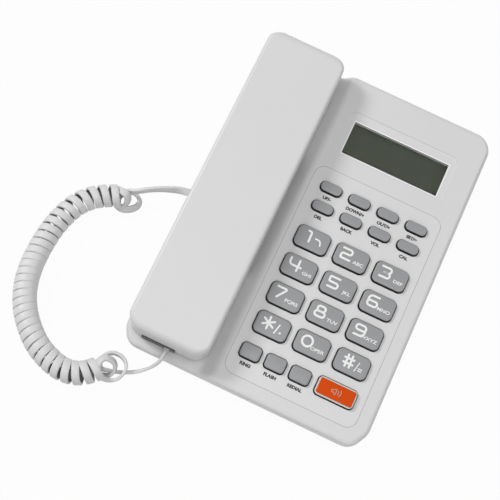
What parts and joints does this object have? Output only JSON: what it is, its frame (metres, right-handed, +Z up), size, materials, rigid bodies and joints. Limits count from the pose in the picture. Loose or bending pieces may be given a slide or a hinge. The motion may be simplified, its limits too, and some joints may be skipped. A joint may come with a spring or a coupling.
{
  "type": "corded landline phone",
  "caption": "Corded desk telephone with a display, a big-button keypad, a hands-free key and a handset in a side cradle on a curly cord.",
  "frame": {"origin": "on the surface that the feet rest on, under the middle of the base", "axes": "+X to the user's right, +Y to the back, +Z up"},
  "size_m": [0.2246, 0.2389, 0.0681],
  "materials": {
    "housing": "moulded light grey, fine satin",
    "panel": "moulded light grey, satin",
    "keycap": "moulded mid grey",
    "orange_cap": "moulded orange",
    "lens": "clear acrylic",
    "lcd": "dark grey-green liquid crystal display",
    "inner_plastic": "moulded",
    "black_plastic": "moulded black",
    "jack_plastic": "moulded black",
    "plug": "moulded, translucent",
    "cord": "extruded light grey jacket",
    "steel": "zinc plated",
    "iron": "black coated steel",
    "board": "green solder mask",
    "silicone": "translucent silicone",
    "rubber": "black rubber"
  },
  "bodies": {
    "base": {"base_upper_housing": "housing", "base_lower_housing": "housing", "battery_contacts": "steel", "rubber_feet": "rubber", "base_screws": "steel", "ballast_plate": "iron", "main_board": "board", "loudspeaker": "black_plastic", "base_microphone": "black_plastic", "cord_jack": "jack_plastic", "line_jack": "jack_plastic", "keypad_panel": "panel", "keymat": "silicone", "keypad_board": "board", "display_lens": "lens", "display_module": "lcd", "display_bracket": "inner_plastic", "hook_cage": "inner_plastic", "hook_switch": "black_plastic", "hook_spring": "steel", "cord_base_plug": "plug", "cord_base_lead": "cord", "cord_handset_lead": "cord", "cord_coil": "cord"},
    "handset": {"handset_outer_shell": "housing", "handset_inner_shell": "housing", "receiver_capsule": "black_plastic", "handset_microphone": "black_plastic", "handset_weight": "iron", "handset_jack": "jack_plastic", "handset_screws": "steel", "cord_handset_plug": "plug"},
    "hook": {"hook_plunger": "inner_plastic"},
    "door": {"battery_door": "housing"},
    "key_1_body": {"key_1": "keycap"},
    "key_2_body": {"key_2": "keycap"},
    "key_3_body": {"key_3": "keycap"},
    "key_4_body": {"key_4": "keycap"},
    "key_5_body": {"key_5": "keycap"},
    "key_6_body": {"key_6": "keycap"},
    "key_7_body": {"key_7": "keycap"},
    "key_8_body": {"key_8": "keycap"},
    "key_9_body": {"key_9": "keycap"},
    "key_star_body": {"key_star": "keycap"},
    "key_0_body": {"key_0": "keycap"},
    "key_hash_body": {"key_hash": "keycap"},
    "key_up_body": {"key_up": "keycap"},
    "key_down_body": {"key_down": "keycap"},
    "key_out_body": {"key_out": "keycap"},
    "key_set_body": {"key_set": "keycap"},
    "key_delete_body": {"key_delete": "keycap"},
    "key_back_body": {"key_back": "keycap"},
    "key_volume_body": {"key_volume": "keycap"},
    "key_calculate_body": {"key_calculate": "keycap"},
    "key_ring_body": {"key_ring": "keycap"},
    "key_flash_body": {"key_flash": "keycap"},
    "key_redial_body": {"key_redial": "keycap"},
    "handsfree_key_body": {"handsfree_key": "keycap", "handsfree_cap": "orange_cap"}
  },
  "joints": [
    {"name": "handset_lift", "type": "slide", "parent": "base", "child": "handset", "axis": [0, -0.1564, 0.9877], "range_m": [0, 0.08]},
    {"name": "hook", "type": "slide", "parent": "base", "child": "hook", "axis": [0, -0.1564, 0.9877], "range_m": [0, 0.004], "stiffness_N_per_m": 100, "springref_m": 0.009, "deforming": ["hook_spring"]},
    {"name": "battery_door_slide", "type": "slide", "parent": "base", "child": "door", "axis": [0, 0, -1], "range_m": [0, 0.03]},
    {"name": "key_1_press", "type": "slide", "parent": "base", "child": "key_1_body", "axis": [0, 0.1564, -0.9877], "range_m": [0, 0.0013], "stiffness_N_per_m": 600, "springref_m": -0.0003, "deforming": ["keymat"]},
    {"name": "key_2_press", "type": "slide", "parent": "base", "child": "key_2_body", "axis": [0, 0.1564, -0.9877], "range_m": [0, 0.0013], "stiffness_N_per_m": 600, "springref_m": -0.0003, "deforming": ["keymat"]},
    {"name": "key_3_press", "type": "slide", "parent": "base", "child": "key_3_body", "axis": [0, 0.1564, -0.9877], "range_m": [0, 0.0013], "stiffness_N_per_m": 600, "springref_m": -0.0003, "deforming": ["keymat"]},
    {"name": "key_4_press", "type": "slide", "parent": "base", "child": "key_4_body", "axis": [0, 0.1564, -0.9877], "range_m": [0, 0.0013], "stiffness_N_per_m": 600, "springref_m": -0.0003, "deforming": ["keymat"]},
    {"name": "key_5_press", "type": "slide", "parent": "base", "child": "key_5_body", "axis": [0, 0.1564, -0.9877], "range_m": [0, 0.0013], "stiffness_N_per_m": 600, "springref_m": -0.0003, "deforming": ["keymat"]},
    {"name": "key_6_press", "type": "slide", "parent": "base", "child": "key_6_body", "axis": [0, 0.1564, -0.9877], "range_m": [0, 0.0013], "stiffness_N_per_m": 600, "springref_m": -0.0003, "deforming": ["keymat"]},
    {"name": "key_7_press", "type": "slide", "parent": "base", "child": "key_7_body", "axis": [0, 0.1564, -0.9877], "range_m": [0, 0.0013], "stiffness_N_per_m": 600, "springref_m": -0.0003, "deforming": ["keymat"]},
    {"name": "key_8_press", "type": "slide", "parent": "base", "child": "key_8_body", "axis": [0, 0.1564, -0.9877], "range_m": [0, 0.0013], "stiffness_N_per_m": 600, "springref_m": -0.0003, "deforming": ["keymat"]},
    {"name": "key_9_press", "type": "slide", "parent": "base", "child": "key_9_body", "axis": [0, 0.1564, -0.9877], "range_m": [0, 0.0013], "stiffness_N_per_m": 600, "springref_m": -0.0003, "deforming": ["keymat"]},
    {"name": "key_star_press", "type": "slide", "parent": "base", "child": "key_star_body", "axis": [0, 0.1564, -0.9877], "range_m": [0, 0.0013], "stiffness_N_per_m": 600, "springref_m": -0.0003, "deforming": ["keymat"]},
    {"name": "key_0_press", "type": "slide", "parent": "base", "child": "key_0_body", "axis": [0, 0.1564, -0.9877], "range_m": [0, 0.0013], "stiffness_N_per_m": 600, "springref_m": -0.0003, "deforming": ["keymat"]},
    {"name": "key_hash_press", "type": "slide", "parent": "base", "child": "key_hash_body", "axis": [0, 0.1564, -0.9877], "range_m": [0, 0.0013], "stiffness_N_per_m": 600, "springref_m": -0.0003, "deforming": ["keymat"]},
    {"name": "key_up_press", "type": "slide", "parent": "base", "child": "key_up_body", "axis": [0, 0.1564, -0.9877], "range_m": [0, 0.0013], "stiffness_N_per_m": 600, "springref_m": -0.0003, "deforming": ["keymat"]},
    {"name": "key_down_press", "type": "slide", "parent": "base", "child": "key_down_body", "axis": [0, 0.1564, -0.9877], "range_m": [0, 0.0013], "stiffness_N_per_m": 600, "springref_m": -0.0003, "deforming": ["keymat"]},
    {"name": "key_out_press", "type": "slide", "parent": "base", "child": "key_out_body", "axis": [0, 0.1564, -0.9877], "range_m": [0, 0.0013], "stiffness_N_per_m": 600, "springref_m": -0.0003, "deforming": ["keymat"]},
    {"name": "key_set_press", "type": "slide", "parent": "base", "child": "key_set_body", "axis": [0, 0.1564, -0.9877], "range_m": [0, 0.0013], "stiffness_N_per_m": 600, "springref_m": -0.0003, "deforming": ["keymat"]},
    {"name": "key_delete_press", "type": "slide", "parent": "base", "child": "key_delete_body", "axis": [0, 0.1564, -0.9877], "range_m": [0, 0.0013], "stiffness_N_per_m": 600, "springref_m": -0.0003, "deforming": ["keymat"]},
    {"name": "key_back_press", "type": "slide", "parent": "base", "child": "key_back_body", "axis": [0, 0.1564, -0.9877], "range_m": [0, 0.0013], "stiffness_N_per_m": 600, "springref_m": -0.0003, "deforming": ["keymat"]},
    {"name": "key_volume_press", "type": "slide", "parent": "base", "child": "key_volume_body", "axis": [0, 0.1564, -0.9877], "range_m": [0, 0.0013], "stiffness_N_per_m": 600, "springref_m": -0.0003, "deforming": ["keymat"]},
    {"name": "key_calculate_press", "type": "slide", "parent": "base", "child": "key_calculate_body", "axis": [0, 0.1564, -0.9877], "range_m": [0, 0.0013], "stiffness_N_per_m": 600, "springref_m": -0.0003, "deforming": ["keymat"]},
    {"name": "key_ring_press", "type": "slide", "parent": "base", "child": "key_ring_body", "axis": [0, 0.1564, -0.9877], "range_m": [0, 0.0013], "stiffness_N_per_m": 600, "springref_m": -0.0003, "deforming": ["keymat"]},
    {"name": "key_flash_press", "type": "slide", "parent": "base", "child": "key_flash_body", "axis": [0, 0.1564, -0.9877], "range_m": [0, 0.0013], "stiffness_N_per_m": 600, "springref_m": -0.0003, "deforming": ["keymat"]},
    {"name": "key_redial_press", "type": "slide", "parent": "base", "child": "key_redial_body", "axis": [0, 0.1564, -0.9877], "range_m": [0, 0.0013], "stiffness_N_per_m": 600, "springref_m": -0.0003, "deforming": ["keymat"]},
    {"name": "handsfree_key_press", "type": "slide", "parent": "base", "child": "handsfree_key_body", "axis": [0, 0.1564, -0.9877], "range_m": [0, 0.0013], "stiffness_N_per_m": 600, "springref_m": -0.0003, "deforming": ["keymat"]}
  ],
  "couplings": [
    {"joint": "hook", "follows": "handset_lift", "ratio": 0.05}
  ]
}
